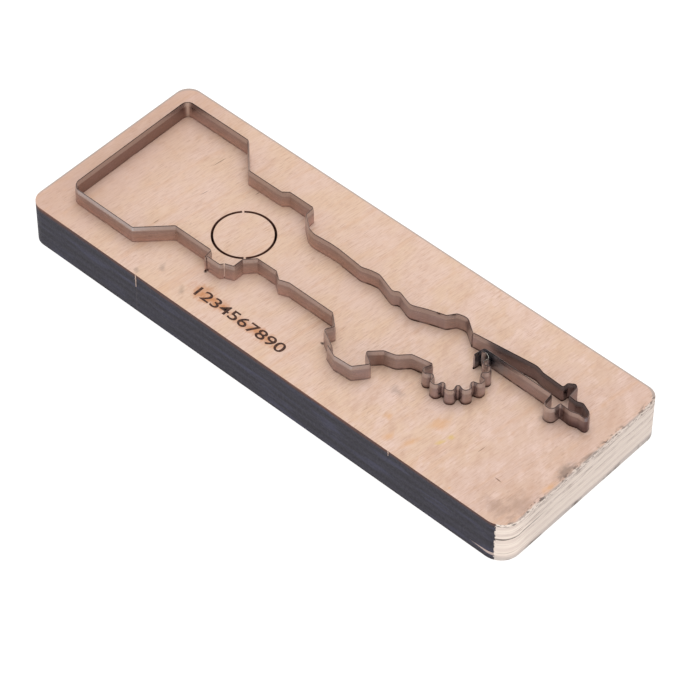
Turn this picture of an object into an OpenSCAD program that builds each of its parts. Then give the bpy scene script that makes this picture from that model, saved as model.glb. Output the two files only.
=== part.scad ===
// Steel rule die: a plywood board with a laser cut kerf that holds bent strips of cutting rule.
// Millimetres. +X runs along the board to its sanded end, +Y to the back, +Z up to the cutting edge.
// The origin is in the middle of the underside.

/* [Board] */
// Length of the plywood board
board_l = 198; // [180:1:240]
// Width of the board
board_w = 72; // [66:1:100]
// Thickness of the board
board_t = 16.5; // [12:0.5:20]
// Radius of the two corners at the head end
head_corner_r = 5.2; // [2:0.1:9]
// Radius of the front corner at the sanded end
sanded_front_r = 7; // [2:0.1:9]
// Radius of the back corner at the sanded end
sanded_back_r = 5; // [2:0.1:9]

/* [Steel rule] */
// Height of the rule above the board
rule_stand = 6.4; // [4:0.1:12]
// Thickness of the rule
rule_t = 0.7; // [0.45:0.05:0.9]
// Height of the ground bevel
bevel_h = 1.5; // [0.6:0.1:3]
// Flat left along the cutting edge
edge_t = 0.08; // [0.04:0.01:0.2]

/* [Kerf and bridges] */
// Clearance between the rule and each side of its kerf
kerf_gap = 0.03; // [0.01:0.01:0.08]
// Length of each uncut bridge across the kerf
bridge_l = 3.4; // [2:0.1:5]
// Clearance between a bridge and the notch over it
notch_gap = 0.15; // [0.05:0.05:0.5]
// Gap left between two pieces of rule at a joint
joint_gap = 0.12; // [0.05:0.01:0.3]
// Length of kerf cut beyond each end of a piece
kerf_run = 0.3; // [0.15:0.05:0.6]
// Gap between two pieces that run side by side
lap_gap = 0.35; // [0.1:0.05:0.6]
// Length that the two pieces run side by side
lap_l = 0.7; // [0.3:0.1:1.5]

/* [Cutting outline] */
// Bare board from the head to the end
head_margin = 9.7; // [6:0.1:16]
// Bare board from the tip to the sanded end
tip_margin = 7.6; // [5:0.1:16]
// Bare board in front of the outline
front_margin = 9.7; // [6:0.1:14]
// Bare board behind the outline
back_margin = 10.1; // [6:0.1:14]

/* [Scallops] */
// Number of scallops
scallop_n = 7; // [5:1:8]
// Radius from the scallops' centre to their crests
scallop_r = 10.25; // [9.5:0.05:11]
// Depth of the cusps between two scallops
cusp_depth = 2.2; // [1.8:0.1:2.6]
// Depth of the cusp at the claw's tip
claw_depth = 3.5; // [3:0.1:4.5]
// Half of a crest's width
crest_half = 1.2; // [1.1:0.05:1.4]
// Half of a cusp's width
cusp_half = 0.55; // [0.5:0.05:0.7]
// Inside bend radius at a crest
crest_bend = 0.8; // [0.5:0.05:0.9]
// Inside bend radius at a cusp
cusp_bend = 0.35; // [0.2:0.05:0.4]
// Direction of the first scallop
scallop_start = -124.5; // [-130:0.5:-120]
// Angle from the first scallop to the last
scallop_sweep = 189; // [180:0.5:195]
// Gap between the last scallop and the wall above it
wall_gap = 0.4; // [0.2:0.05:0.8]

/* [Round kerf] */
// Radius of the round kerf
ring_r = 10; // [6:0.1:12]
// Width of the round kerf
ring_kerf = 0.75; // [0.4:0.05:1.5]
// Width of the two ties that hold the disc
ring_tie = 1.1; // [0.6:0.1:3]
// Direction of the ties
ring_tie_angle = 135; // [0:5:180]

/* [Hidden] */

board_colour = "burlywood";
rule_colour = "dimgray";
rule_h = board_t + rule_stand;
arc_step = 18;
sharp_bend = 0.1;
cut_over = 1;

// Corners of the board: the side in x, the side in y and the radius
corners = [
    [-1, -1, head_corner_r], [-1, 1, head_corner_r],
    [1, -1, sanded_front_r], [1, 1, sanded_back_r]
];

// Limits of the outline's centreline as it is drawn below
drawn_low = [-89.3, -26.3];
drawn_high = [91.4, 25.9];
cut_low = [head_margin - board_l / 2, front_margin - board_w / 2];
cut_high = [board_l / 2 - tip_margin, board_w / 2 - back_margin];
stretch = [for (k = [0, 1]) (cut_high[k] - cut_low[k]) / (drawn_high[k] - drawn_low[k])];

// Each outline point is x, y and the inside radius of the bend there
HEAD_LINE = [
    [-36.9, -20.0, 0], [-37.5, -16.7, 0.25], [-52.9, -16.75, 0.45], [-62.1, -26.3, 0.45],
    [-89.0, -26.3, 2.85], [-89.3, 25.9, 2.25], [-62.3, 25.9, 0.45], [-52.7, 16.2, 0.45],
    [-38.7, 16.3, 0.25], [-36.7, 18.0, 0.25], [-26.7, 18.0, 0.25], [-26.4, 14.3, 0.45],
    [-21.5, 10.5, 2.15], [-18.9, 9.8, 3.65], [-10.6, 10.5, 20], [1.4, 9.4, 2.65],
    [4.6, 10.4, 1.15], [7.6, 10.9, 2.65], [15.1, 8.4, 1.15], [16.9, 9.7, 1.15],
    [22.9, 7.8, 2.65], [28.0, 10.0, 3.65], [32.0, 11.4, 1.15], [33.8, 12.0, 0.65],
    [35.8, 14.8, 1.15], [39.2, 15.8, 2.65]
];
TIP_LINE = [
    [67.5, 15.1, 5.65], [70.5, 14.2, 1.65], [78.4, 13.9, 0.15], [78.5, 15.9, 0.35],
    [80.4, 17.3, 0.35], [81.4, 16.9, 0.35], [82.0, 12.45, 0.45], [84.9, 12.2, 0.65],
    [87.0, 13.05, 1.15], [90.9, 11.4, 1.65], [91.6, 8.75, 0.45], [88.6, 8.9, 0.65],
    [86.2, 8.1, 1.15], [81.9, 8.4, 0.25], [81.8, 4.65, 1.25], [78.4, 4.65, 1.25]
];
CLAW_LINE = [
    [20.0, -23.2, 0.65], [26.6, -22.8, 0.45], [30.2, -18.2, 0.45], [25.7, -15.4, 0.25],
    [29.5, -11.5, 1.15], [33.4, -10.4, 2.65], [36.7, -6.9, 0.45]
];
HANDLE_LINE = [
    [-27.65, -16.95, 0.1], [-27.65, -13.1, 0.25], [-24.5, -9.65, 0.45], [-16.6, -9.5, 0.45],
    [-13.6, -11.7, 0.15], [-10.3, -10.45, 0.65], [7.7, -10.5, 0.25], [12.0, -14.3, 0.15],
    [10.5, -17.3, 0.25], [16.8, -20.8, 0]
];
NECK_LINE = [[-31.2, -19.35, 0.25]];

// Where two pieces of rule meet, and the centres of the round kerf and of the scallops
leg_spot = [-37.0, -19.4];
neck_spot = [-30.6, -18.15];
hump_spot = [44.35, 12.2];
ring_spot = [-38.8, -0.9];
scallop_spot = [49.4, -1.1];

// Lower wall of the barrel: where it starts at the tip and how far it falls to there
barrel_wall_x = 77.65;
barrel_wall_fall = 0.3;
barrel_wall_bend = 0.15;
// Hook that ends the barrel, measured from the end of the scallops
hook_corner_x = -1.75;
hook_tip = [-2.3, -2.9];
hook_bend = 0.95;
// Share of the hook's leg from its tip to the weld
weld_share = 0.54;

// Bridges of each piece: the outline point before it and the share of the way to the next
head_bridges = [[3, 0.41], [4, 0.5], [5, 0.52], [14, 0.15], [19, 0.35]];
barrel_bridges = [[0, 0.73], [17, 0.29]];
scallop_bridges = [[1, 0.48], [7, 0.6]];
handle_bridges = [[3, 0.37], [6, 0.5]];

leg_joint = at(leg_spot);
neck_joint = at(neck_spot);
hump_joint = at(hump_spot);
ring_centre = at(ring_spot);
scallop_centre = at(scallop_spot);
cusp_r = scallop_r - cusp_depth;
scallop_pitch = scallop_sweep / (scallop_n - 1);

function at(p) = [for (k = [0, 1]) cut_low[k] + (p[k] - drawn_low[k]) * stretch[k]];
function placed(line) = [for (p = line) [each at(p), p[2] * min(stretch)]];
function xy(p) = [p[0], p[1]];
function last(list) = list[len(list) - 1];
function unit(v) = v / norm(v);
function left_of(d) = [-d[1], d[0]];
function turned(d, a) = d * cos(a) + left_of(d) * sin(a);
function turn(a, b) = atan2(a[0] * b[1] - a[1] * b[0], a * b);
function on_scallop(r, side, a) = scallop_centre + turned([r, side], a);
function crest(i, side) = on_scallop(scallop_r, side * crest_half, scallop_start + i * scallop_pitch);
function cusp(i, side) = on_scallop(cusp_r, side * cusp_half, scallop_start + (i + 0.5) * scallop_pitch);

// End of a piece that comes from one point and meets, at a joint, the piece from another
function butt(from, joint, other) =
    let (half_turn = abs(turn(joint - from, other - joint)) / 2)
    joint + unit(from - joint) * (rule_t / 2 * tan(half_turn) + joint_gap / 2);

// End of a piece that meets, at a joint, the flat side of another that runs its own way
function against(from, joint, way) =
    let (
        d = unit(from - joint),
        lean = abs(d * way),
        rise = abs(d * left_of(way))
    )
    joint + d * (rule_t / 2 * (1 + lean) + joint_gap) / rise;

// Stations round one bend: a point of the centreline and the direction there
function bend(a, b, c) =
    let (
        d_in = unit(xy(b) - xy(a)),
        sweep = turn(d_in, xy(c) - xy(b)),
        r = (b[2] + rule_t / 2) * sign(sweep),
        centre = xy(b) - d_in * r * tan(sweep / 2) + left_of(d_in) * r,
        n = ceil(abs(sweep) / arc_step)
    )
    [for (k = [0:n]) let (d = turned(d_in, sweep * k / n)) [centre - left_of(d) * r, d]];

// Stations along a whole piece
function stations(path) =
    let (n = len(path) - 1)
    concat(
        [[xy(path[0]), unit(xy(path[1]) - xy(path[0]))]],
        [for (i = [1:n - 1]) each bend(path[i - 1], path[i], path[i + 1])],
        [[xy(path[n]), unit(xy(path[n]) - xy(path[n - 1]))]]
    );

// Centreline of each piece of rule
scallops = [
    for (i = [0:scallop_n - 1])
        each [
            for (side = [-1, 1]) [each crest(i, side), crest_bend],
            if (i < scallop_n - 1)
                each [for (side = [-1, 1]) [each cusp(i, side), cusp_bend]]
        ]
];
claw_tip = [each on_scallop(scallop_r - claw_depth, 0, scallop_start - scallop_pitch / 2), sharp_bend];
row_end = xy(last(scallops));
barrel_wall_y = row_end[1] + rule_t + wall_gap;
hook_corner = [row_end[0] + hook_corner_x, barrel_wall_y];
hook_end = row_end + hook_tip;
weld = hook_end + (hook_corner - hook_end) * weld_share;
barrel_wall = [
    [at([barrel_wall_x, 0])[0], barrel_wall_y - barrel_wall_fall, barrel_wall_bend],
    [each hook_corner, hook_bend]
];
leg_way = unit(at(HEAD_LINE[1]) - at(HEAD_LINE[0]));
tail_end = at(last(HANDLE_LINE));
tail_way = unit(tail_end - at(HANDLE_LINE[len(HANDLE_LINE) - 2]));
lap_start = tail_end - left_of(tail_way) * (rule_t + lap_gap) - tail_way * lap_l;

head_path = concat(
    placed(HEAD_LINE), [butt(at(last(HEAD_LINE)), hump_joint, at(TIP_LINE[0]))]
);
barrel_path = concat(
    [butt(at(TIP_LINE[0]), hump_joint, at(last(HEAD_LINE)))],
    placed(TIP_LINE), barrel_wall, [hook_end]
);
scallop_path = concat(
    [lap_start], placed(CLAW_LINE), [claw_tip], scallops,
    [against(row_end, weld, unit(hook_corner - hook_end))]
);
handle_path = concat([butt(at(HANDLE_LINE[0]), neck_joint, at(NECK_LINE[0]))], placed(HANDLE_LINE));
neck_path = concat(
    [against(at(NECK_LINE[0]), leg_joint, leg_way)], placed(NECK_LINE),
    [butt(at(NECK_LINE[0]), neck_joint, at(HANDLE_LINE[0]))]
);

// Blocks across the path at each bridge
module across(path, bridges, length, height, z = 0) {
    for (b = bridges) {
        p = xy(path[b[0]]);
        q = xy(path[b[0] + 1]);
        way = turn([1, 0], q - p);
        translate([each p + (q - p) * b[1], z])
            rotate(way)
                translate([-length / 2, -rule_t, 0])
                    cube([length, 2 * rule_t, height]);
    }
}

// Bent strip with its double bevel, notched over the bridges
module rule(path, bridges) {
    marks = stations(path);
    section = [
        [-rule_t / 2, 0], [rule_t / 2, 0], [rule_t / 2, rule_h - bevel_h],
        [edge_t / 2, rule_h], [-edge_t / 2, rule_h], [-rule_t / 2, rule_h - bevel_h]
    ];
    m = len(section);
    points = [
        for (s = marks)
            for (c = section)
                [each s[0] - left_of(s[1]) * c[0], c[1]]
    ];
    walls = [
        for (i = [0:len(marks) - 2])
            for (j = [0:m - 1])
                [i * m + j, i * m + (j + 1) % m, (i + 1) * m + (j + 1) % m, (i + 1) * m + j]
    ];
    start = [for (j = [m - 1:-1:0]) j];
    finish = [for (j = [0:m - 1]) (len(marks) - 1) * m + j];
    color(rule_colour)
        difference() {
            polyhedron(points, concat(walls, [start, finish]));
            across(path, bridges, bridge_l + 2 * notch_gap, board_t + notch_gap + cut_over, -cut_over);
        }
}

// Slot through the board for one piece of rule, left uncut at the bridges
module kerf(path, bridges) {
    marks = stations(path);
    half = rule_t / 2 + kerf_gap;
    n = len(marks) - 1;
    function overrun(i) = i == 0 ? -kerf_run : i == n ? kerf_run : 0;
    function side(i, w) = marks[i][0] + marks[i][1] * overrun(i) + left_of(marks[i][1]) * w;
    difference() {
        translate([0, 0, -cut_over])
            linear_extrude(board_t + 2 * cut_over)
                polygon(concat(
                    [for (i = [0:n]) side(i, -half)],
                    [for (i = [n:-1:0]) side(i, half)]
                ));
        across(path, bridges, bridge_l, board_t + 4 * cut_over, -2 * cut_over);
    }
}

// Round kerf with its two ties
module ring() {
    deep = board_t + 2 * cut_over;
    translate([each ring_centre, -cut_over])
        difference() {
            cylinder(h = deep, r = ring_r + ring_kerf / 2, $fn = 96);
            translate([0, 0, -cut_over])
                cylinder(h = deep + 2 * cut_over, r = ring_r - ring_kerf / 2, $fn = 96);
            rotate(ring_tie_angle)
                translate([-2 * ring_r, -ring_tie / 2, -cut_over])
                    cube([4 * ring_r, ring_tie, deep + 2 * cut_over]);
        }
}

// Flat outline of the board with its rounded corners
module board_outline() {
    difference() {
        square([board_l, board_w], center = true);
        for (c = corners)
            translate([c[0] * board_l / 2, c[1] * board_w / 2])
                square(2 * c[2], center = true);
    }
    for (c = corners)
        translate([c[0] * (board_l / 2 - c[2]), c[1] * (board_w / 2 - c[2])])
            circle(r = c[2], $fn = 64);
}

module die_board() {
    color(board_colour)
        difference() {
            linear_extrude(board_t)
                board_outline();
            kerf(head_path, head_bridges);
            kerf(barrel_path, barrel_bridges);
            kerf(scallop_path, scallop_bridges);
            kerf(handle_path, handle_bridges);
            kerf(neck_path, []);
            ring();
        }
}

module head_rule() {
    rule(head_path, head_bridges);
}

module barrel_rule() {
    rule(barrel_path, barrel_bridges);
}

module scallop_rule() {
    rule(scallop_path, scallop_bridges);
}

module handle_rule() {
    rule(handle_path, handle_bridges);
}

module neck_rule() {
    rule(neck_path, []);
}

die_board();
head_rule();
barrel_rule();
scallop_rule();
handle_rule();
neck_rule();
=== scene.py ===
"""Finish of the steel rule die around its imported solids.

Veneer, charred and sanded edges, rule steel and burnt figures, then the studio and the camera.
Sizes and places are in millimetres, and those of the floor and the lights in metres.
"""
import math

import bpy
from mathutils import Matrix, Vector


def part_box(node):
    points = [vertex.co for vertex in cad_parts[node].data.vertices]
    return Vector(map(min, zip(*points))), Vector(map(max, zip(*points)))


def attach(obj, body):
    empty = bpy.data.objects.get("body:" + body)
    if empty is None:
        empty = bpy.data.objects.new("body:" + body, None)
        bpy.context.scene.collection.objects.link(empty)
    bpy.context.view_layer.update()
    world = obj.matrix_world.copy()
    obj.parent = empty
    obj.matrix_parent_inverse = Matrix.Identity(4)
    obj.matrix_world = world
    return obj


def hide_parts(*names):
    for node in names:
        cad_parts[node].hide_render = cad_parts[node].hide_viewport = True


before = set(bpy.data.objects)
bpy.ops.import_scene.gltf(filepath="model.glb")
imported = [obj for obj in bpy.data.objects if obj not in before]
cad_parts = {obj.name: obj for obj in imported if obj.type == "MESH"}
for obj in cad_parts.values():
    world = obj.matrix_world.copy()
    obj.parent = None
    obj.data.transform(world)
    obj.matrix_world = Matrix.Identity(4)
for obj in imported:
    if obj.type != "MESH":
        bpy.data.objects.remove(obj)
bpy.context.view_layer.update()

MM = 0.001
BODY = "root"
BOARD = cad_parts["die_board"]
RULES = [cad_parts[name] for name in sorted(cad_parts) if name.endswith("_rule")]
board_low, board_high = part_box("die_board")
BOARD_TOP = board_high.z / MM
BOARD_FRONT = board_low.y / MM
HALF_LENGTH = board_high.x / MM
HALF_WIDTH = board_high.y / MM
RULE_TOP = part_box("head_rule")[1].z / MM

# Size along an axis on which a pattern stays the same
FLAT = 1000.0
# Range that most of a noise pattern's values lie in
NOISE_RANGE = (0.3, 0.7)
# Height over which the upper side's marks fade out, so that the underside stays plain
ABOVE_UNDERSIDE = (1.0, 2.0)


# Node helpers

def linear(red, green, blue):
    """Shader colour from an ordinary 0 to 255 screen colour."""
    def channel(value):
        value = value / 255
        return value / 12.92 if value <= 0.04045 else ((value + 0.055) / 1.055) ** 2.4
    return (channel(red), channel(green), channel(blue), 1.0)


def new_material(name):
    material = bpy.data.materials.new(name)
    material.use_nodes = True
    return material, material.node_tree, material.node_tree.nodes["Principled BSDF"]


def put(tree, socket, value):
    """Links a socket, or sets it, to a value."""
    if isinstance(value, bpy.types.NodeSocket):
        tree.links.new(value, socket)
    else:
        socket.default_value = value


def millimetres(tree, size=(1, 1, 1), lean=0.0, centre=(0, 0, 0)):
    """Object coordinates from a centre, along axes leaning about Z, in units of a size in millimetres."""
    coordinates = tree.nodes.new("ShaderNodeTexCoord")
    mapping = tree.nodes.new("ShaderNodeMapping")
    mapping.vector_type = "TEXTURE"
    mapping.inputs["Location"].default_value = [c * MM for c in centre]
    mapping.inputs["Rotation"].default_value = (0, 0, math.radians(lean))
    mapping.inputs["Scale"].default_value = [s * MM for s in size]
    tree.links.new(coordinates.outputs["Object"], mapping.inputs["Vector"])
    return mapping.outputs["Vector"]


def axis_of(tree, vector, axis):
    split = tree.nodes.new("ShaderNodeSeparateXYZ")
    tree.links.new(vector, split.inputs["Vector"])
    return split.outputs[axis]


def math_node(tree, operation, first, second=0.0):
    node = tree.nodes.new("ShaderNodeMath")
    node.operation = operation
    put(tree, node.inputs[0], first)
    put(tree, node.inputs[1], second)
    return node.outputs[0]


def product(tree, *values):
    result = values[0]
    for value in values[1:]:
        result = math_node(tree, "MULTIPLY", result, value)
    return result


def distance(tree, value, target):
    """How far a value is from a target, on either side."""
    return math_node(tree, "ABSOLUTE", math_node(tree, "SUBTRACT", value, target))


def vector_node(tree, operation, first, second=(0, 0, 0)):
    node = tree.nodes.new("ShaderNodeVectorMath")
    node.operation = operation
    put(tree, node.inputs[0], first)
    put(tree, node.inputs[1], second)
    return node.outputs["Value" if operation == "LENGTH" else "Vector"]


def plan_reach(tree, centre, size=(1, 1), lean=0.0):
    """Distance in plan from a centre, in units of a half size."""
    return vector_node(tree, "LENGTH", millimetres(tree, (*size, FLAT), lean, (*centre, 0)))


def noise(tree, size, lean=0.0, detail=3.0, roughness=0.5):
    """Noise whose cells have a size in millimetres."""
    node = tree.nodes.new("ShaderNodeTexNoise")
    tree.links.new(millimetres(tree, size, lean), node.inputs["Vector"])
    node.inputs["Scale"].default_value = 1.0
    node.inputs["Detail"].default_value = detail
    node.inputs["Roughness"].default_value = roughness
    return node.outputs["Fac"]


def between(tree, value, low, high, start=0.0, end=1.0):
    """Smooth step of a value from low to high, as start to end."""
    node = tree.nodes.new("ShaderNodeMapRange")
    node.interpolation_type = "SMOOTHSTEP"
    put(tree, node.inputs["Value"], value)
    if low > high:
        low, high, start, end = high, low, end, start
    node.inputs["From Min"].default_value = low
    node.inputs["From Max"].default_value = high
    node.inputs["To Min"].default_value = start
    node.inputs["To Max"].default_value = end
    return node.outputs["Result"]


def blend(tree, share, first, second):
    """Colour that goes from first to second by share."""
    node = tree.nodes.new("ShaderNodeMix")
    node.data_type = "RGBA"
    put(tree, node.inputs["Factor"], share)
    put(tree, node.inputs["A"], first)
    put(tree, node.inputs["B"], second)
    return [s for s in node.outputs if s.type == "RGBA"][0]


def bump(tree, bsdf, height, strength, depth):
    node = tree.nodes.new("ShaderNodeBump")
    node.inputs["Strength"].default_value = strength
    node.inputs["Distance"].default_value = depth * MM
    tree.links.new(height, node.inputs["Height"])
    tree.links.new(node.outputs["Normal"], bsdf.inputs["Normal"])


def surface(tree, bsdf, colour, relief, rough, strength, depth):
    """Gives a shader its colour, and its roughness and bump from one relief pattern."""
    put(tree, bsdf.inputs["Base Color"], colour)
    put(tree, bsdf.inputs["Roughness"], between(tree, relief, *NOISE_RANGE, *rough))
    bump(tree, bsdf, relief, strength, depth)


def two_tone(name, size, levels, first, second, rough, strength, depth):
    """Material of two colours mixed by a noise pattern, which also gives its roughness and bump."""
    material, tree, bsdf = new_material(name)
    pattern = noise(tree, size, 0, 3.0, 0.6)
    colour = blend(tree, between(tree, pattern, *levels), first, second)
    surface(tree, bsdf, colour, pattern, rough, strength, depth)
    return material


# Marks in plan

RIM_NOISE = (2.4, 4.0, FLAT)
STROKE_FADE = (1.0, 0.3)
BOARD_CORNER = 6.0


def spot(tree, centre, size, lean=0.0, ragged=0.35):
    """Soft spot in plan: 1 near its centre and 0 outside its half size, with a ragged rim."""
    reach = plan_reach(tree, centre, size, lean)
    rough = between(tree, noise(tree, RIM_NOISE, 0, 4.0, 0.6), 0.25, 0.75, -ragged, ragged)
    return between(tree, math_node(tree, "ADD", reach, rough), 1.0, 0.0)


def stroke(tree, start, end, width):
    """Thin line in plan from start to end."""
    along = Vector(end) - Vector(start)
    middle = (Vector(start) + Vector(end)) / 2
    lean = math.degrees(math.atan2(along.y, along.x))
    return between(tree, plan_reach(tree, middle, (along.length / 2, width / 2), lean), *STROKE_FADE)


def rim_distance(tree):
    """Distance in from the board's outline, up to the corner radius."""
    corner_centre = (HALF_LENGTH - BOARD_CORNER, HALF_WIDTH - BOARD_CORNER, 1)
    place = vector_node(tree, "ABSOLUTE", millimetres(tree, (1, 1, FLAT)))
    place = vector_node(tree, "SUBTRACT", place, corner_centre)
    place = vector_node(tree, "MAXIMUM", place, (0, 0, 0))
    return math_node(tree, "SUBTRACT", BOARD_CORNER, vector_node(tree, "LENGTH", place))


# Face veneer: colours, then cell sizes of its patterns, then where they start and end

VENEER_PINK = linear(230, 199, 182)
VENEER_TAN = linear(229, 197, 173)
VENEER_ORANGE = linear(221, 179, 148)
VENEER_DARK = linear(203, 165, 143)
VENEER_LEFT = linear(211, 175, 158)
VENEER_RIGHT = linear(214, 181, 167)
PORE_BROWN = linear(178, 137, 113)
PATCH_LIGHT = linear(238, 209, 197)
PATCH_DARK = linear(212, 175, 153)
RIM_GREY = linear(176, 164, 157)
CLOUD = (11, 16, FLAT)
BAND = (3.2, 55, FLAT)
BLOTCH = (2.4, 3.6, FLAT)
PATCH = (5, 9, FLAT)
FIBRE = (0.42, 5, FLAT)
PORE = (0.24, 3.2, FLAT)
PORE_CLOUD = (16, 24, FLAT)
GRAIN_LEAN = -6.0
PATCH_LEAN = 25.0
DULL_LEFT = (-62, -99)
DULL_RIGHT = (55, 96)
PATCHED = (0, 40)
RIM_DEPTH = (0.8, 0.2)
RIM_ACROSS = (-34, -28)


def veneer_ground(tree, along):
    """Pink and tan clouds, duller towards both ends, with orange bands and blotches and soft patches."""
    clouds = noise(tree, CLOUD, GRAIN_LEAN, 2.0)
    colour = blend(tree, between(tree, clouds, 0.38, 0.62), VENEER_PINK, VENEER_TAN)
    colour = blend(tree, between(tree, along, *DULL_LEFT, 0, 0.75), colour, VENEER_LEFT)
    colour = blend(tree, between(tree, along, *DULL_RIGHT, 0, 0.5), colour, VENEER_RIGHT)
    bands = noise(tree, BAND, GRAIN_LEAN, 3.0, 0.55)
    colour = blend(tree, between(tree, bands, 0.52, 0.74, 0, 0.55), colour, VENEER_ORANGE)
    blotches = noise(tree, BLOTCH, GRAIN_LEAN, 4.0, 0.65)
    colour = blend(tree, between(tree, blotches, 0.5, 0.75, 0, 0.4), colour, VENEER_ORANGE)
    patches = noise(tree, PATCH, PATCH_LEAN, 4.0, 0.6)
    patched = between(tree, along, *PATCHED, 0.15, 0.55)
    light = product(tree, between(tree, patches, 0.48, 0.64), patched)
    colour = blend(tree, light, colour, PATCH_LIGHT)
    dark = product(tree, between(tree, patches, 0.46, 0.32), patched)
    return blend(tree, dark, colour, PATCH_DARK)


def veneer_grain(tree, colour, fibres):
    """Darker fibres across the board, and short pores that are busier in some places."""
    colour = blend(tree, between(tree, fibres, 0.42, 0.75, 0, 0.72), colour, VENEER_DARK)
    pores = between(tree, noise(tree, PORE, GRAIN_LEAN, 2.0), 0.54, 0.72)
    busy = between(tree, noise(tree, PORE_CLOUD, 0, 2.0), 0.35, 0.65, 0.12, 0.5)
    return blend(tree, product(tree, pores, busy), colour, PORE_BROWN)


# Spots on the face: colour, share of it, then each centre, half size and lean

STAIN_YELLOW = linear(222, 188, 118)
STAIN_ORANGE = linear(224, 170, 118)
SMUDGE_GREY = linear(112, 98, 92)
SMUDGE_PINK = linear(178, 146, 129)
SCORCH_ORANGE = linear(198, 132, 84)
PIERCE_BLACK = linear(58, 38, 32)
SPOTS = (
    (STAIN_YELLOW, 0.75, (
        ((63.3, -19.4), (1.5, 1.6), 0),
        ((62.6, -23.0), (1.1, 2.4), -20),
    )),
    (STAIN_ORANGE, 0.55, (
        ((57.7, -17.7), (3.4, 5.0), -20),
        ((49.7, -31.9), (2.0, 3.0), 0),
        ((43.8, -25.9), (2.2, 2.4), 0),
        ((56.0, -29.0), (1.6, 5.0), -10),
        ((76.0, -34.3), (0.9, 1.0), 0),
    )),
    (SMUDGE_GREY, 0.34, (
        ((-47.6, -28.0), (1.5, 2.8), 40),
        ((-36.5, -31.1), (1.4, 2.6), 30),
        ((-52.7, -34.4), (1.6, 1.4), 0),
        ((39.1, -16.8), (3.8, 2.2), 0),
        ((79.6, 4.7), (3.0, 2.2), 0),
    )),
    (SMUDGE_PINK, 0.62, (
        ((95.0, -25.5), (5.5, 8.0), -20),
        ((91.0, -30.5), (7.5, 4.0), 0),
    )),
    (SMUDGE_GREY, 0.6, (
        ((97.0, -6.0), (2.8, 7.0), -8),
        ((98.3, 3.0), (1.6, 5.0), 0),
    )),
    (STAIN_ORANGE, 0.65, (
        ((97.3, -14.3), (1.6, 3.8), -8),
    )),
    (SCORCH_ORANGE, 0.85, (
        ((-31.0, -27.3), (7.0, 4.4), 0),
        ((-24.0, -27.7), (7.0, 3.4), 0),
        ((-8.0, -27.7), (16.0, 3.0), 0),
    )),
    (PIERCE_BLACK, 0.95, (
        ((-36.6, -20.4), (0.8, 0.7), 0),
        ((10.1, -17.8), (0.75, 0.7), 0),
    )),
)

# Scratches on the face: start, end and width
SCRATCH_BROWN = linear(118, 84, 66)
SCRATCH_SHARE = 0.75
SCRATCHES = (
    ((-67.1, 13.4), (-66.2, 20.7), 0.42),
    ((-63.1, -17.1), (-62.8, -13.6), 0.4),
    ((-48.2, 13.9), (-48.0, 16.4), 0.4),
    ((82.8, -22.2), (86.1, -22.4), 0.6),
    ((-61.0, 2.0), (-60.2, 6.0), 0.3),
    ((73.0, -19.0), (73.5, -14.5), 0.35),
)


def face_marks(tree, colour):
    """Stains, smudges, scorch and scratches of the upper face."""
    upper = between(tree, axis_of(tree, millimetres(tree), "Z"), *ABOVE_UNDERSIDE)
    for tint, share, places in SPOTS:
        for centre, size, lean in places:
            stain = product(tree, spot(tree, centre, size, lean), upper, share)
            colour = blend(tree, stain, colour, tint)
    for start, end, width in SCRATCHES:
        scratch = product(tree, stroke(tree, start, end, width), upper, SCRATCH_SHARE)
        colour = blend(tree, scratch, colour, SCRATCH_BROWN)
    return colour


RING_PLACE = (-38.8, -0.9)
RING_RADIUS = 10.0
RING_BURN = (0.5, 0.36)
RING_TIE_LEAN = 135.0
RING_TIE_HALF = (0.2, 0.38)
RING_BROWN = linear(78, 50, 41)


def burnt_ring(tree, colour):
    """Burnt rim of the round kerf, open at its two ties."""
    rim = distance(tree, plan_reach(tree, RING_PLACE), RING_RADIUS)
    tie = axis_of(tree, millimetres(tree, (1, 1, FLAT), RING_TIE_LEAN, (*RING_PLACE, 0)), "Y")
    beside_tie = between(tree, distance(tree, tie, 0), *RING_TIE_HALF, 0, 0.9)
    return blend(tree, product(tree, between(tree, rim, *RING_BURN), beside_tie), colour, RING_BROWN)


CHIP_DARK = linear(84, 70, 64)
CHIP_LIGHT = linear(226, 209, 197)
CHIP_RUN = (9, 9, FLAT)
BREAK = (0.9, 2.6, FLAT)
CHIP = (1.0, 2.2, FLAT)
CHIPPED = (96, 98)
BREAK_DEPTH = (0.9, 0.6)
CHIP_DEPTH = (2.3, 0.5)
CHIP_SHARE = 0.8


def chipped_end(tree, colour, along, rim):
    """Veneer broken away along the sanded end, pale at the rim with dark chips behind it."""
    chipped = between(tree, noise(tree, CHIP_RUN, 0, 2.0), 0.4, 0.58, 0.15, 1.0)
    chipped = product(tree, chipped, between(tree, along, *CHIPPED))
    broken = between(tree, noise(tree, BREAK, 0, 3.0, 0.6), 0.47, 0.53)
    broken = product(tree, broken, between(tree, rim, *BREAK_DEPTH), chipped)
    colour = blend(tree, broken, colour, CHIP_LIGHT)
    chips = between(tree, noise(tree, CHIP, 0, 4.0, 0.65), 0.49, 0.58)
    chips = product(tree, chips, between(tree, rim, *CHIP_DEPTH), chipped, CHIP_SHARE)
    return blend(tree, chips, colour, CHIP_DARK)


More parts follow.
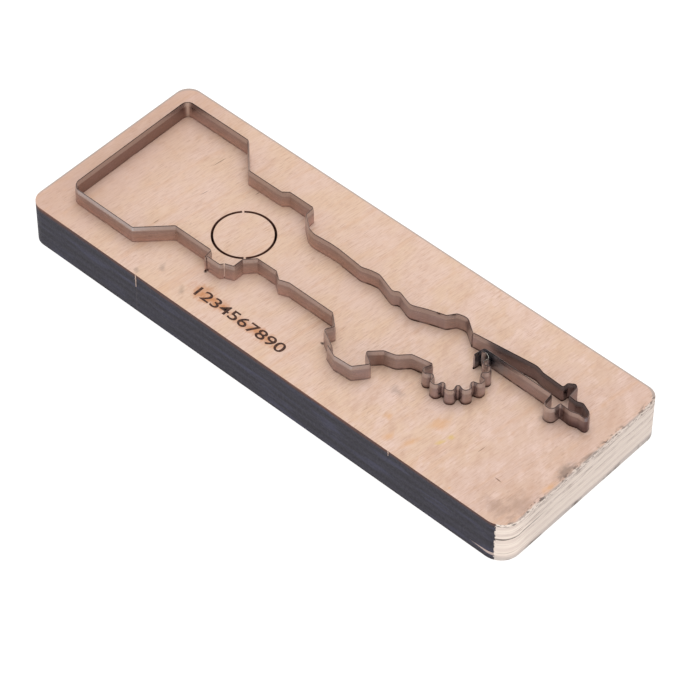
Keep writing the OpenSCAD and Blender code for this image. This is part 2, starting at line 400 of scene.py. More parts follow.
def veneer():
    """Face veneer with its grain across the board."""
    material, tree, bsdf = new_material("face_veneer")
    along = axis_of(tree, millimetres(tree), "X")
    across = axis_of(tree, millimetres(tree), "Y")
    fibres = noise(tree, FIBRE, GRAIN_LEAN, 5.0, 0.7)
    colour = veneer_ground(tree, along)
    colour = veneer_grain(tree, colour, fibres)
    colour = face_marks(tree, colour)
    rim = rim_distance(tree)
    greyed = product(tree, between(tree, rim, *RIM_DEPTH), between(tree, across, *RIM_ACROSS, 0, 0.75))
    colour = blend(tree, greyed, colour, RIM_GREY)
    colour = burnt_ring(tree, colour)
    colour = chipped_end(tree, colour, along, rim)
    surface(tree, bsdf, colour, fibres, (0.55, 0.7), 0.25, 0.05)
    bsdf.inputs["Specular IOR Level"].default_value = 0.25
    return material


# Charred edge: colours, cell sizes of its patterns, then depths below the face and places

CHAR_DARK = linear(48, 45, 53)
CHAR_LIGHT = linear(64, 61, 73)
CHAR_BLUE = linear(72, 71, 92)
CHAR_BROWN = linear(94, 64, 56)
CHAR_RIM = linear(136, 92, 74)
CHAR_SEAM = linear(112, 100, 100)
CHAR_BARED = linear(206, 184, 176)
CHAR_STREAK = (9, 9, 0.5)
CHAR_CLOUD = (14, 14, 2.2)
BROWN_DEPTH = (1.8, 0.7)
RIM_BROWN_DEPTH = (0.35, 0.1)
BROWN_WANDER = 0.4
SEAM_PLACE = -51.5
SEAM_WANDER = 0.4
SEAM_HALF = (0.35, 0.1)
SEAM_FRONT = (-30, -32)
BARED_HEIGHT = 2.5
BARED_HALF = 0.55
BARED_FROM = 85.5
SANDED_FROM = 94.8


def charred(tree, place, waver, stripe):
    """Laser char with faint plies, browner along the face and bared in a streak near the sanded end."""
    height = axis_of(tree, place, "Z")
    along = axis_of(tree, place, "X")
    streak = noise(tree, CHAR_STREAK, 0, 4.0, 0.6)
    colour = blend(tree, between(tree, stripe, 0.1, 0.9, 0.1, 0.7), CHAR_DARK, CHAR_LIGHT)
    colour = blend(tree, between(tree, streak, 0.4, 0.7, 0, 0.7), colour, CHAR_DARK)
    blue = noise(tree, CHAR_CLOUD, 0, 2.0)
    colour = blend(tree, between(tree, blue, 0.5, 0.75, 0, 0.6), colour, CHAR_BLUE)
    wander = between(tree, waver, *NOISE_RANGE, -BROWN_WANDER, BROWN_WANDER)
    depth = math_node(tree, "SUBTRACT", BOARD_TOP, math_node(tree, "ADD", height, wander))
    colour = blend(tree, between(tree, depth, *BROWN_DEPTH, 0, 0.9), colour, CHAR_BROWN)
    colour = blend(tree, between(tree, depth, *RIM_BROWN_DEPTH, 0, 0.8), colour, CHAR_RIM)
    seam_line = between(tree, waver, *NOISE_RANGE, SEAM_PLACE - SEAM_WANDER, SEAM_PLACE + SEAM_WANDER)
    seam = between(tree, distance(tree, along, seam_line), *SEAM_HALF)
    front = between(tree, axis_of(tree, place, "Y"), *SEAM_FRONT, 0, 0.13)
    colour = blend(tree, product(tree, seam, front), colour, CHAR_SEAM)
    width = between(tree, along, BARED_FROM, SANDED_FROM, 0, BARED_HALF)
    bared = math_node(tree, "LESS_THAN", distance(tree, height, BARED_HEIGHT), width)
    bared = product(tree, bared, between(tree, streak, 0.3, 0.5, 0.5, 0.95))
    return blend(tree, bared, colour, CHAR_BARED)


# Sanded end: colours, cell sizes of its patterns, then heights and places

SANDED_LIGHT = linear(249, 233, 220)
SANDED_MID = linear(239, 221, 209)
SANDED_FAR = linear(198, 184, 175)
SANDED_DASH = linear(158, 139, 129)
SANDED_GREY = linear(164, 157, 156)
GLUE_LINE = linear(196, 178, 166)
CRACK_DARK = linear(92, 78, 70)
DASH = (5, 5, 0.3)
WEAR_RUN = (9, 9, FLAT)
EDGE_CHIP = (1.6, 1.6, 0.6)
DASHED_HEIGHT = (6, 11)
DASHED_ACROSS = (-34, -26)
FAR_ACROSS = (-33, -20)
GREY_HEIGHT = (2.6, 0.4)
WORN_HEIGHT = (1.1, 0.3)
LOW_WANDER = 0.9
CRACK_HEIGHT = 9.9
CRACK_WANDER = 0.6
CRACK_HALF = (0.3, 0.1)
CRACK_ACROSS = (-13, -28)
EDGE_CHIP_DEPTH = (2.0, 0.6)


def sanded(tree, place, waver, stripe):
    """Pale plies of the sanded end, with broken dashes, a crack between two plies and a grey lower edge."""
    height = axis_of(tree, place, "Z")
    across = axis_of(tree, place, "Y")
    colour = blend(tree, between(tree, stripe, 0.35, 0.65), SANDED_LIGHT, SANDED_MID)
    colour = blend(tree, between(tree, stripe, 0.1, 0, 0, 0.6), colour, GLUE_LINE)
    dashes = between(tree, noise(tree, DASH, 0, 4.0, 0.65), 0.47, 0.6)
    dashes = product(tree, dashes, between(tree, stripe, 0.2, 0.8, 0.1, 1))
    dashes = product(tree, dashes, between(tree, height, *DASHED_HEIGHT, 0.3, 1))
    dashes = product(tree, dashes, between(tree, across, *DASHED_ACROSS, 0.25, 1))
    colour = blend(tree, dashes, colour, SANDED_DASH)
    colour = blend(tree, between(tree, across, *FAR_ACROSS, 0, 0.4), colour, SANDED_FAR)
    wander = between(tree, waver, *NOISE_RANGE, -LOW_WANDER, LOW_WANDER)
    low = math_node(tree, "ADD", height, wander)
    colour = blend(tree, between(tree, low, *GREY_HEIGHT, 0, 0.5), colour, SANDED_GREY)
    worn = between(tree, noise(tree, WEAR_RUN, 0, 3.0, 0.6), 0.48, 0.62, 0, 0.75)
    colour = blend(tree, product(tree, between(tree, low, *WORN_HEIGHT), worn), colour, CRACK_DARK)
    crack_line = between(tree, waver, 0.2, 0.8, CRACK_HEIGHT - CRACK_WANDER, CRACK_HEIGHT + CRACK_WANDER)
    crack = between(tree, distance(tree, height, crack_line), *CRACK_HALF)
    crack = product(tree, crack, between(tree, across, *CRACK_ACROSS, 0, 0.9))
    colour = blend(tree, crack, colour, CRACK_DARK)
    chips = between(tree, noise(tree, EDGE_CHIP, 0, 3.0, 0.6), 0.52, 0.62)
    depth = math_node(tree, "SUBTRACT", BOARD_TOP, height)
    chips = product(tree, chips, between(tree, depth, *EDGE_CHIP_DEPTH, 0, 0.75))
    return blend(tree, chips, colour, CHIP_DARK)


PLY = 1.65
PLY_WANDER = 0.3
PLY_WAVE = (22, 22, 2.5)
EDGE_GRAIN = (5, 5, 0.35)
SANDED_RAG = (0.8, 0.8, 0.8)
RAG_REACH = 0.25
SANDED_STEP = 0.1


def board_edge():
    """Charred edge all round, sanded back to pale plies at one end."""
    material, tree, bsdf = new_material("board_edge")
    place = millimetres(tree)
    waver = noise(tree, PLY_WAVE, 0, 3.0, 0.6)
    layer = math_node(tree, "MULTIPLY", axis_of(tree, place, "Z"), 1 / PLY)
    layer = math_node(tree, "ADD", layer, between(tree, waver, 0.2, 0.8, -PLY_WANDER, PLY_WANDER))
    stripe = math_node(tree, "PINGPONG", layer, 1.0)
    ragged = noise(tree, SANDED_RAG, 0, 3.0)
    rag = between(tree, ragged, *NOISE_RANGE, -RAG_REACH, RAG_REACH)
    start = math_node(tree, "ADD", axis_of(tree, place, "X"), rag)
    share = between(tree, start, SANDED_FROM - SANDED_STEP, SANDED_FROM + SANDED_STEP)
    dark = charred(tree, place, waver, stripe)
    pale = sanded(tree, place, waver, stripe)
    put(tree, bsdf.inputs["Base Color"], blend(tree, share, dark, pale))
    put(tree, bsdf.inputs["Roughness"], between(tree, ragged, *NOISE_RANGE, 0.6, 0.8))
    bsdf.inputs["Specular IOR Level"].default_value = 0.3
    bump(tree, bsdf, noise(tree, EDGE_GRAIN, 0, 4.0, 0.6), 0.3, 0.1)
    return material


KERF_WALL_DARK = linear(96, 58, 46)
KERF_WALL_BROWN = linear(142, 92, 72)
KERF_BURN = (1.5, 1.5, 0.6)
BURNT_ROUGH = (0.78, 0.92)


def kerf_wall():
    """Walls of the laser cuts, burnt brown."""
    tones = (KERF_WALL_DARK, KERF_WALL_BROWN)
    return two_tone("kerf_wall", KERF_BURN, (0.35, 0.65), *tones, BURNT_ROUGH, 0.3, 0.1)


# Faces whose normal rises more than this are veneer, and walls farther in than this are cuts
FACE_RISE = 0.7
OUTER_RIM = 5.0
VENEER_SLOT, EDGE_SLOT, KERF_SLOT = range(3)


def dress_board():
    """Veneer on both faces, char and sanding round the outline, burnt walls inside the cuts."""
    BOARD.data.materials.clear()
    for material in (veneer(), board_edge(), kerf_wall()):
        BOARD.data.materials.append(material)
    for face in BOARD.data.polygons:
        inside_x = abs(face.center.x) < (HALF_LENGTH - OUTER_RIM) * MM
        inside_y = abs(face.center.y) < (HALF_WIDTH - OUTER_RIM) * MM
        if abs(face.normal.z) > FACE_RISE:
            face.material_index = VENEER_SLOT
        elif inside_x and inside_y:
            face.material_index = KERF_SLOT
        else:
            face.material_index = EDGE_SLOT


# Rule steel: colours of the strip's wall, its cell sizes, heights above the face, and places

# Paler colour at the foot is painted light, evening out the shade low on the strips
STEEL_FOOT_LIGHT = linear(218, 192, 187)
STEEL_MID = linear(190, 168, 163)
STEEL_UPPER = linear(168, 155, 155)
STEEL_DARK = linear(146, 130, 128)
STEEL_PALE = linear(212, 198, 194)
STEEL_COOL = linear(170, 166, 174)
# Painted shade colour, for the head's left wall and the claw's wall
STEEL_SHADE = linear(142, 119, 114)
# Painted highlight colour
PAINTED_GLINT = linear(246, 242, 238)
DRAWN = (4.0, 4.0, 0.3)
MOTTLE = (1.3, 1.3, 0.45)
FOOT_FADE = (0.4, 2.4)
UPPER_FADE = (2.2, 4.6)
COOLED = (6.0, 14.0)
SHADED_LEFT_WALL = (-87.0, -88.5)
EVEN_RIM = 0.1

# Painted shade on the claw's wall and painted highlights on the head's back bend and the barrel's lobe:
# colour, share of it, centre and half size
PAINTED_SHADE_AND_GLINTS = (
    (STEEL_SHADE, 0.8, (29.0, -13.0), (4.0, 4.0)),
    (PAINTED_GLINT, 0.8, (-88.4, 25.1), (1.1, 1.1)),
    (PAINTED_GLINT, 0.6, (80.2, 5.2), (3.6, 2.6)),
)


def drawn_wall(tree, stand, along, drawn, mottle):
    """Wall of the strip: painted light at its foot, painted shade on the head's left wall, cooler to the
    right, streaked along its length and mottled, then painted shade and highlights in spots.
    """
    colour = blend(tree, between(tree, stand, *FOOT_FADE), STEEL_FOOT_LIGHT, STEEL_MID)
    colour = blend(tree, between(tree, stand, *UPPER_FADE), colour, STEEL_UPPER)
    colour = blend(tree, between(tree, drawn, 0.4, 0.75, 0, 0.4), colour, STEEL_DARK)
    colour = blend(tree, between(tree, mottle, 0.45, 0.7, 0, 0.4), colour, STEEL_DARK)
    colour = blend(tree, between(tree, mottle, 0.45, 0.25, 0, 0.4), colour, STEEL_PALE)
    colour = blend(tree, between(tree, along, *COOLED, 0, 0.4), colour, STEEL_COOL)
    # Painted shade on the head's left wall
    colour = blend(tree, between(tree, along, *SHADED_LEFT_WALL, 0, 0.75), colour, STEEL_SHADE)
    # Painted shade and painted highlights in spots
    for tint, share, centre, size in PAINTED_SHADE_AND_GLINTS:
        mark = product(tree, spot(tree, centre, size, ragged=EVEN_RIM), share)
        colour = blend(tree, mark, colour, tint)
    return colour


# Heat colours: brown on the barrel's back wall and the tip, blue round the weld, and painted shade brown in
# the scallops' cusps and low on the scallops

HEAT_AND_SHADE_BROWN = linear(145, 130, 131)
# Painted shade brown, low on the scallops and on the tip's front wall
SHADE_BROWN = linear(104, 80, 72)
BLUED = linear(166, 169, 179)
BROWNED_TIP = (76.0, 82.0)
SCALLOP_CENTRE = (49.4, -1.1)
SHADED_CUSP_REACH = (9.2, 8.2)
ROW_REACH = (13.5, 12.5)
SHADED_FOOT_HEIGHT = (1.8, 0.3)
WELD_HEAT = ((53.6, 8.8), (9.5, 5.0))
WELD_HEAT_RIM = 0.2
BLUED_ACROSS = (11.0, 10.4)
BLUED_HEIGHT = (0.4, 3.0)


def heat_colours_and_shade(tree, colour, stand, across, reach, back):
    tip = product(tree, between(tree, reach, *BROWNED_TIP), 0.5)
    browned = math_node(tree, "MAXIMUM", product(tree, back, 0.92), tip)
    colour = blend(tree, browned, colour, HEAT_AND_SHADE_BROWN)
    row = plan_reach(tree, SCALLOP_CENTRE)
    # Painted shade in the cusps between the scallops
    colour = blend(tree, between(tree, row, *SHADED_CUSP_REACH, 0, 0.6), colour, HEAT_AND_SHADE_BROWN)
    # Painted shade low on the scallops
    foot_shade = product(tree, between(tree, stand, *SHADED_FOOT_HEIGHT, 0, 0.7), between(tree, row, *ROW_REACH))
    colour = blend(tree, foot_shade, colour, SHADE_BROWN)
    blued = between(tree, spot(tree, *WELD_HEAT, ragged=WELD_HEAT_RIM), 0, 0.6, 0, 0.95)
    blued = product(tree, blued, between(tree, across, *BLUED_ACROSS))
    blued = product(tree, blued, between(tree, stand, *BLUED_HEIGHT, 0.45, 1))
    return blend(tree, blued, colour, BLUED)


# Tip and lap: centres and half sizes of the tip's purple and its painted shade, and of what the weld left
# at the lap

TIP_PURPLE = linear(96, 78, 82)
TIP_END_SHADE = ((91.3, 9.4), (1.8, 1.8))
TIP_LOW = ((87.5, 8.6), (5.5, 2.4))
TIP_LOW_HEIGHT = (4.0, 1.2)
TIP_SHADE = ((84.6, 7.3), (2.6, 2.2))
LAP_DARK = linear(112, 106, 104)
SCALE_GLINT_PLACE = ((55.0, 5.4), (3.2, 4.2))
SCALE_GLINT_FLAKE = (0.6, 0.6, 0.6)


def tip_and_lap(tree, colour, stand, lap):
    """Purple lower front of the tip, painted shade over the tip's end and the start of its front wall, and
    the dark lap at the weld with flakes of scale painted as bright highlights.
    """
    # Painted shade over the tip's end, dimming its reflection
    end_shade = product(tree, spot(tree, *TIP_END_SHADE, ragged=EVEN_RIM), 0.85)
    colour = blend(tree, end_shade, colour, TIP_PURPLE)
    tip_low = between(tree, spot(tree, *TIP_LOW, ragged=EVEN_RIM), 0, 0.4)
    tip_low = product(tree, tip_low, between(tree, stand, *TIP_LOW_HEIGHT, 0, 0.8))
    colour = blend(tree, tip_low, colour, TIP_PURPLE)
    colour = blend(tree, product(tree, lap, 0.85), colour, LAP_DARK)
    # Flakes of scale near the weld, painted as bright highlights
    scale_glints = between(tree, noise(tree, SCALE_GLINT_FLAKE, 0, 3.0, 0.6), 0.58, 0.63)
    glint_area = between(tree, spot(tree, *SCALE_GLINT_PLACE, ragged=EVEN_RIM), 0, 0.5)
    colour = blend(tree, product(tree, scale_glints, glint_area), colour, PAINTED_GLINT)
    # Painted shade on the start of the tip's front wall
    return blend(tree, product(tree, spot(tree, *TIP_SHADE), 0.9), colour, SHADE_BROWN)


# Cutting edge: depths below its top, and centres and half sizes of the gaps where painted highlights break
# its dark line, and of its nicks

EDGE_DARK = linear(66, 54, 52)
LAP_EDGE_GLINT = linear(184, 182, 172)
EDGE_LINE = (0.32, 0.22)
EDGE_GLINT_GAPS = (((-89.6, 24.7), (0.7, 0.7)), ((-88.5, 25.8), (0.7, 0.7)))
NICKS = (((31.5, 11.4), (1.2, 1.2)), ((34.6, 14.2), (1.6, 1.4)))
NICK_DEPTH = (0.9, 0.5)
NICK_RIM = 0.2


def cutting_edge(tree, colour, drop, mottle, lap):
    """Dark line along the edge, a painted highlight in its place at the lap, gaps where the bend's painted
    highlight shows through, and nicks.
    """
    edge = between(tree, drop, *EDGE_LINE)
    edge = product(tree, edge, between(tree, mottle, 0.3, 0.6, 0.95, 0.75))
    for gap in EDGE_GLINT_GAPS:
        edge = product(tree, edge, between(tree, spot(tree, *gap, ragged=EVEN_RIM), 0, 0.4, 1, 0))
    # Painted highlight along the edge at the lap
    colour = blend(tree, edge, colour, blend(tree, lap, EDGE_DARK, LAP_EDGE_GLINT))
    worn = between(tree, drop, *NICK_DEPTH)
    for nick in NICKS:
        colour = blend(tree, product(tree, spot(tree, *nick, ragged=NICK_RIM), worn), colour, EDGE_DARK)
    return colour


# Foot darkening: soot of the laser and painted shadow
FOOT_SOOT_AND_SHADOW = linear(66, 44, 36)
FOOT_LINE = (0.9, 0.15)
FOOT_ACROSS = (-13, -9)
FOOT_PATCH = (3.5, 3.5, FLAT)
DARKENS_RIGHTWARD = (-20.0, 12.0)


def sooted_and_shaded_foot(tree, colour, height, stand, along, across):
    """Soot of the laser and painted shadow on the strip's foot, stronger towards the weld."""
    foot = product(tree, between(tree, stand, *FOOT_LINE), between(tree, height, *ABOVE_UNDERSIDE))
    foot = product(tree, foot, between(tree, across, *FOOT_ACROSS, 0.4, 1))
    foot = product(tree, foot, between(tree, noise(tree, FOOT_PATCH, 0, 2.0), 0.4, 0.6, 0.5, 1))
    foot = product(tree, foot, between(tree, along, *DARKENS_RIGHTWARD, 0.2, 1))
    return blend(tree, foot, colour, FOOT_SOOT_AND_SHADOW)


BEVEL = linear(198, 191, 189)
BEVEL_BACK = linear(156, 137, 133)
BEVEL_BAND = (1.95, 1.65)
HEAT_CLOUD = (6, 6, 5)
HEAT_WANDER = 4.0
BACK_ALONG = (51.0, 56.0)
BACK_ACROSS = (11.0, 11.8)
LAP_HEAT = ((53.4, 7.2), (2.1, 2.4))
BACK_BEVEL_ROUGH = 0.35


def rule_steel():
    """Rule steel with a ground bevel, a dark edge, a foot darkened by soot and painted shadow, the colours
    of the weld's heat, and painted light, shade and highlights.
    """
    material, tree, bsdf = new_material("rule_steel")
    place = millimetres(tree)
    along = axis_of(tree, place, "X")
    across = axis_of(tree, place, "Y")
    height = axis_of(tree, place, "Z")
    stand = math_node(tree, "SUBTRACT", height, BOARD_TOP)
    drop = math_node(tree, "SUBTRACT", RULE_TOP, height)
    drawn = noise(tree, DRAWN, 0, 4.0, 0.6)
    mottle = noise(tree, MOTTLE, 0, 4.0, 0.7)
    wander = between(tree, noise(tree, HEAT_CLOUD, 0, 3.0), 0.2, 0.8, -HEAT_WANDER, HEAT_WANDER)
    reach = math_node(tree, "ADD", along, wander)
    back = product(tree, between(tree, reach, *BACK_ALONG), between(tree, across, *BACK_ACROSS))
    lap = between(tree, spot(tree, *LAP_HEAT, ragged=EVEN_RIM), 0, 0.5)
    ground = between(tree, drop, *BEVEL_BAND)
    colour = drawn_wall(tree, stand, along, drawn, mottle)
    colour = heat_colours_and_shade(tree, colour, stand, across, reach, back)
    colour = blend(tree, product(tree, ground, 0.55), colour, BEVEL)
    colour = blend(tree, product(tree, ground, back, 0.85), colour, BEVEL_BACK)
    colour = tip_and_lap(tree, colour, stand, lap)
    colour = cutting_edge(tree, colour, drop, mottle, lap)
    colour = sooted_and_shaded_foot(tree, colour, height, stand, along, across)
    put(tree, bsdf.inputs["Base Color"], colour)
    rough = between(tree, drawn, *NOISE_RANGE, 0.26, 0.4)
    rough = math_node(tree, "ADD", rough, product(tree, ground, back, BACK_BEVEL_ROUGH))
    put(tree, bsdf.inputs["Roughness"], rough)
    bsdf.inputs["Metallic"].default_value = 1.0
    bump(tree, bsdf, drawn, 0.12, 0.03)
    return material


# Pieces

def take(*pieces):
    """Selects only these pieces, the last one active."""
    bpy.ops.object.select_all(action="DESELECT")
    for piece in pieces:
        piece.select_set(True)
        bpy.context.view_layer.objects.active = piece


def copy_of(piece, name):
    """New piece with its own mesh, without the marks that say what the first piece is."""
    take(piece)
    bpy.ops.object.duplicate()
    copy = bpy.context.object
    copy.name = name
    for mark in list(copy.keys()):
        del copy[mark]
    return copy


def edit(select="SELECT", mode="VERT"):
    bpy.ops.object.mode_set(mode="EDIT")
    bpy.ops.mesh.select_mode(type=mode)
    bpy.ops.mesh.select_all(action=select)


def done(piece, material):
    """Leaves edit mode, dresses the piece and lets it ride on the die."""
    bpy.ops.object.mode_set(mode="OBJECT")
    piece.data.materials.clear()
    piece.data.materials.append(material)
    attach(piece, BODY)


MERGE = 0.002
BEND_FACET = 30.0
BEVEL_RISE = 0.1


def finished_rule(node, steel):
    """Copy of a rule strip with its bends shaded smooth and the ground bevel kept crisp."""
    rule = copy_of(node, node.name + "_finish")
    edit()
    bpy.ops.mesh.remove_doubles(threshold=MERGE * MM)
    bpy.ops.object.mode_set(mode="OBJECT")
    bpy.ops.object.shade_smooth_by_angle(angle=math.radians(BEND_FACET))
    edit("DESELECT", "FACE")
    bpy.ops.object.mode_set(mode="OBJECT")
    for face in rule.data.polygons:
        face.select = face.normal.z > BEVEL_RISE
    bpy.ops.object.mode_set(mode="EDIT")
    bpy.ops.mesh.region_to_loop()
    bpy.ops.mesh.mark_sharp()
    done(rule, steel)
    even = rule.modifiers.new("even_normals", "WEIGHTED_NORMAL")
    even.keep_sharp = True
    bpy.ops.object.modifier_apply(modifier=even.name)
    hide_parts(node.name)
    return rule


# Burnt faces low on the strips: heights of the two cuts above the board's face, then the burn

SCORCH_LOW = 0.01
SCORCH_HIGH = 0.06
SCORCH_BURN = (2.4, 2.4, FLAT)
SCORCH_BLACK = linear(56, 38, 32)
SCORCH_BROWN = linear(124, 88, 70)
SCORCH_PALE = linear(172, 134, 112)


def scorch():
    """Burnt brown, paler towards the head."""
    material, tree, bsdf = new_material("kerf_scorch")
    burn = noise(tree, SCORCH_BURN, 0, 3.0, 0.6)
    colour = blend(tree, between(tree, burn, 0.42, 0.66), SCORCH_BLACK, SCORCH_BROWN)
    pale = between(tree, axis_of(tree, millimetres(tree), "X"), *DARKENS_RIGHTWARD, 0.7, 0)
    colour = blend(tree, pale, colour, SCORCH_PALE)
    surface(tree, bsdf, colour, burn, BURNT_ROUGH, 0.3, 0.05)
    return material


def cut_level(stand, **cleared):
    """Cuts the mesh level at a height above the face and clears one side, apart from what lies close by."""
    bpy.ops.mesh.select_all(action="SELECT")
    bpy.ops.mesh.bisect(plane_co=(0, 0, (BOARD_TOP + stand) * MM), plane_no=(0, 0, 1), **cleared)


def kerf_scorch(rules):
    """Burnt faces that two level cuts just above the board leave of the strips' walls and notches."""
    bands = []
    for rule in rules:
        band = copy_of(rule, rule.name + "_scorch")
        edit()
        cut_level(SCORCH_HIGH, clear_outer=True)
        cut_level(SCORCH_LOW, clear_inner=True)
        bpy.ops.object.mode_set(mode="OBJECT")
        bands.append(band)
    take(*bands)
    bpy.ops.object.join()
    scorched = bpy.context.object
    scorched.name = "kerf_scorch"
    done(scorched, scorch())


# Weld bead: its middle, half sizes and lumps

BEAD_PLACE = (51.2, 8.2, 19.4)
BEAD_SIZE = (0.36, 0.34, 1.25)
BEAD_LUMP = 0.5
BEAD_ROUGH = 0.6
BEAD_RIPPLE = (0.5, 0.5, 0.35)
BEAD_BLACK = linear(38, 37, 41)
BEAD_GREY = linear(206, 202, 200)
BEAD_METALLIC = 0.3


def bead_metal():
    tones = (BEAD_BLACK, BEAD_GREY)
    material = two_tone("weld_bead", BEAD_RIPPLE, (0.61, 0.68), *tones, (0.55, 0.35), 0.4, 0.1)
    material.node_tree.nodes["Principled BSDF"].inputs["Metallic"].default_value = BEAD_METALLIC
    return material


def weld_bead():
    """Lumpy run of weld where the scallop strip meets the hook."""
    bpy.ops.object.select_all(action="DESELECT")
    bpy.ops.mesh.primitive_ico_sphere_add(subdivisions=4, radius=MM, location=Vector(BEAD_PLACE) * MM)
    bead = bpy.context.object
    bead.name = "weld_bead"
    bead.scale = BEAD_SIZE
    bpy.ops.object.transform_apply(location=True, rotation=False, scale=True)
    lumps = bpy.data.textures.new("weld_lumps", "CLOUDS")
    lumps.noise_scale = BEAD_LUMP * MM
    push = bead.modifiers.new("lumps", "DISPLACE")
    push.texture = lumps
    push.texture_coords = "LOCAL"
    push.strength = BEAD_ROUGH * MM
    bpy.ops.object.modifier_apply(modifier=push.name)
    bpy.ops.object.shade_smooth()
    done(bead, bead_metal())


# Torn slivers: their section and roughness, then each one's name, place along the board, length and seed

TICK_WIDE = 0.36
TICK_OUT = 0.3
TICK_CUTS = 5
TICK_ROUGH = 0.17
TICK_TAPER = 0.4
TICKS = (
    ("left_tick", -51.5, 5.2, 3),
    ("right_tick", 53.5, 1.9, 7),
)
TORN_FIBRE = (0.2, 0.2, 1.2)
TORN_LIGHT = linear(222, 198, 184)
TORN_BROWN = linear(134, 98, 82)


def torn_wood():
    tones = (TORN_LIGHT, TORN_BROWN)
    return two_tone("torn_wood", TORN_FIBRE, (0.45, 0.7), *tones, (0.72, 0.88), 0.5, 0.1)


def torn_ticks():
    """Torn slivers of bare wood on the front side, where the board was broken out of its sheet."""
    wood = torn_wood()
    for name, along, length, seed in TICKS:
        bpy.ops.object.select_all(action="DESELECT")
        middle = (along * MM, BOARD_FRONT * MM, (BOARD_TOP - length / 2) * MM)
        bpy.ops.mesh.primitive_cube_add(size=MM, location=middle)
        tick = bpy.context.object
        tick.name = name
        tick.scale = (TICK_WIDE, TICK_OUT, length)
        bpy.ops.object.transform_apply(location=True, rotation=False, scale=True)
        edit()
        bpy.ops.mesh.subdivide(number_cuts=TICK_CUTS)
        bpy.ops.transform.vertex_random(offset=TICK_ROUGH * MM, seed=seed)
        bpy.ops.mesh.select_all(action="DESELECT")
        bpy.ops.object.mode_set(mode="OBJECT")
        for vertex in tick.data.vertices:
            vertex.select = vertex.co.z < middle[2]
        bpy.ops.object.mode_set(mode="EDIT")
        bpy.ops.transform.resize(value=(TICK_TAPER, 1, 1), center_override=middle)
        done(tick, wood)


# Burnt figures: the box that they fill in plan, and their thickness

MARK_TEXT = "1234567890"
MARK_LOW = (-33.0, -29.7)
MARK_HIGH = (3.5, -25.7)
MARK_THICK = 0.04
MARK_BOLD = 0.012
MARK_DOT = (0.6, 0.6, FLAT)
MARK_BLACK = linear(50, 30, 24)
MARK_BROWN = linear(104, 66, 46)


def burnt_ink():
    tones = (MARK_BLACK, MARK_BROWN)
    return two_tone("burnt_figures", MARK_DOT, (0.4, 0.7), *tones, BURNT_ROUGH, 0.4, 0.05)


def burnt_mark():
    """Plain figures burnt into the face in front of the handle."""
    bpy.ops.object.select_all(action="DESELECT")
    bpy.ops.object.text_add(location=(0, 0, 0))
    text = bpy.context.object.data
    text.body = MARK_TEXT
    text.extrude = MARK_THICK
    text.offset = MARK_BOLD
    bpy.ops.object.convert(target="MESH")
    mark = bpy.context.object
    mark.name = "burnt_mark"
    low = [min(v.co[k] for v in mark.data.vertices) for k in range(3)]
    high = [max(v.co[k] for v in mark.data.vertices) for k in range(3)]
    start = (*MARK_LOW, BOARD_TOP - MARK_THICK / 2)
    end = (*MARK_HIGH, BOARD_TOP + MARK_THICK / 2)
    mark.scale = [(end[k] - start[k]) * MM / (high[k] - low[k]) for k in range(3)]
    mark.location = [start[k] * MM - low[k] * mark.scale[k] for k in range(3)]
    bpy.ops.object.transform_apply(location=True, rotation=False, scale=True)
    done(mark, burnt_ink())


# Studio: floor and lights in metres, each light's name, place, size and power

WHITE = (1, 1, 1, 1)
FLOOR_SIZE = 8.0
FLOOR_DROP = 0.00005
FLOOR_GREY = (0.25, 0.25, 0.25, 1)
FLOOR_ROUGH = 0.9
FLOOR_GLOW = 0.92
WORLD_LIGHT = 0.55
SOFTBOXES = (
    ("top_softbox", (-0.3, 0.5, 1.7), 1.6, 17),
    ("side_softbox", (1.3, -0.7, 1.1), 1.0, 4.5),
)


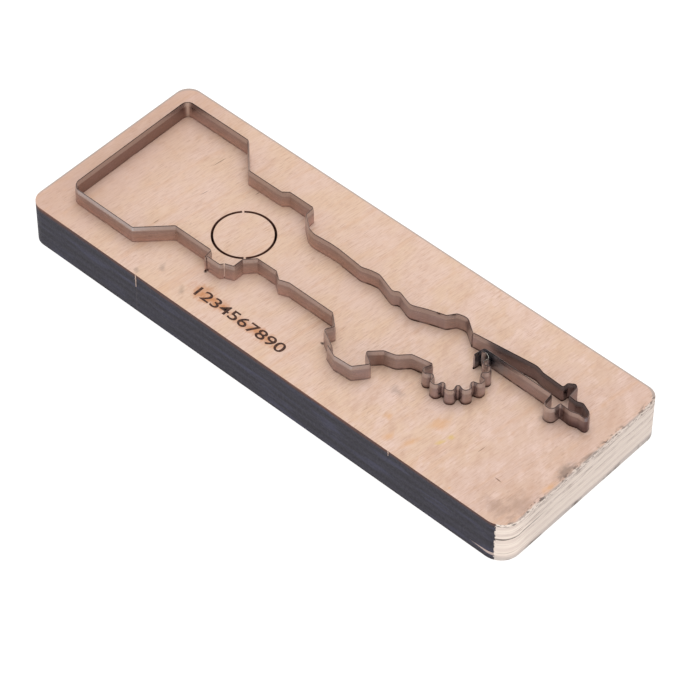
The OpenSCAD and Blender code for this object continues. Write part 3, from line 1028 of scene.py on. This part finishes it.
def studio_floor():
    """Pale floor, with a glow of its own that keeps it white."""
    bpy.ops.object.select_all(action="DESELECT")
    bpy.ops.mesh.primitive_plane_add(size=FLOOR_SIZE, location=(0, 0, -FLOOR_DROP))
    floor = bpy.context.object
    floor.name = "floor"
    material, tree, bsdf = new_material("pale_floor")
    bsdf.inputs["Base Color"].default_value = FLOOR_GREY
    bsdf.inputs["Roughness"].default_value = FLOOR_ROUGH
    bsdf.inputs["Emission Color"].default_value = WHITE
    bsdf.inputs["Emission Strength"].default_value = FLOOR_GLOW
    floor.data.materials.append(material)


def studio_light():
    """Even white surroundings and two soft lights that face the die."""
    world = bpy.data.worlds.new("studio")
    world.use_nodes = True
    background = world.node_tree.nodes["Background"]
    background.inputs["Color"].default_value = WHITE
    background.inputs["Strength"].default_value = WORLD_LIGHT
    bpy.context.scene.world = world
    for name, place, size, power in SOFTBOXES:
        bpy.ops.object.light_add(type="AREA", location=place)
        lamp = bpy.context.object
        lamp.name = name
        lamp.data.energy = power
        lamp.data.size = size
        lamp.rotation_euler = (-lamp.location).to_track_quat("-Z", "Y").to_euler()
    bpy.context.scene.view_settings.view_transform = "Standard"


# Camera, solved from the board's edges: place, target, roll in degrees, lens and sensor

CAMERA_PLACE = (483.0, -528.0, 788.7)
CAMERA_TARGET = (18.35, -14.11, 16.5)
CAMERA_ROLL = 0.471
CAMERA_LENS = 176.34
CAMERA_SENSOR = 36.0
CAMERA_CLIP = 50.0
HALF_PIXEL = 0.5 / 700


def camera():
    place = Vector(CAMERA_PLACE) * MM
    target = Vector(CAMERA_TARGET) * MM
    bpy.ops.object.camera_add(location=place)
    eye = bpy.context.object
    eye.name = "photo_camera"
    look = (target - place).to_track_quat("-Z", "Y").to_matrix().to_4x4()
    roll = Matrix.Rotation(math.radians(CAMERA_ROLL), 4, "Z")
    eye.matrix_world = Matrix.Translation(place) @ look @ roll
    eye.data.lens = CAMERA_LENS
    eye.data.sensor_width = CAMERA_SENSOR
    eye.data.shift_x = -HALF_PIXEL
    eye.data.shift_y = HALF_PIXEL
    eye.data.clip_start = CAMERA_CLIP * MM
    bpy.context.scene.camera = eye


dress_board()
steel = rule_steel()
rules = [finished_rule(node, steel) for node in RULES]
kerf_scorch(rules)
weld_bead()
torn_ticks()
burnt_mark()
studio_floor()
studio_light()
camera()
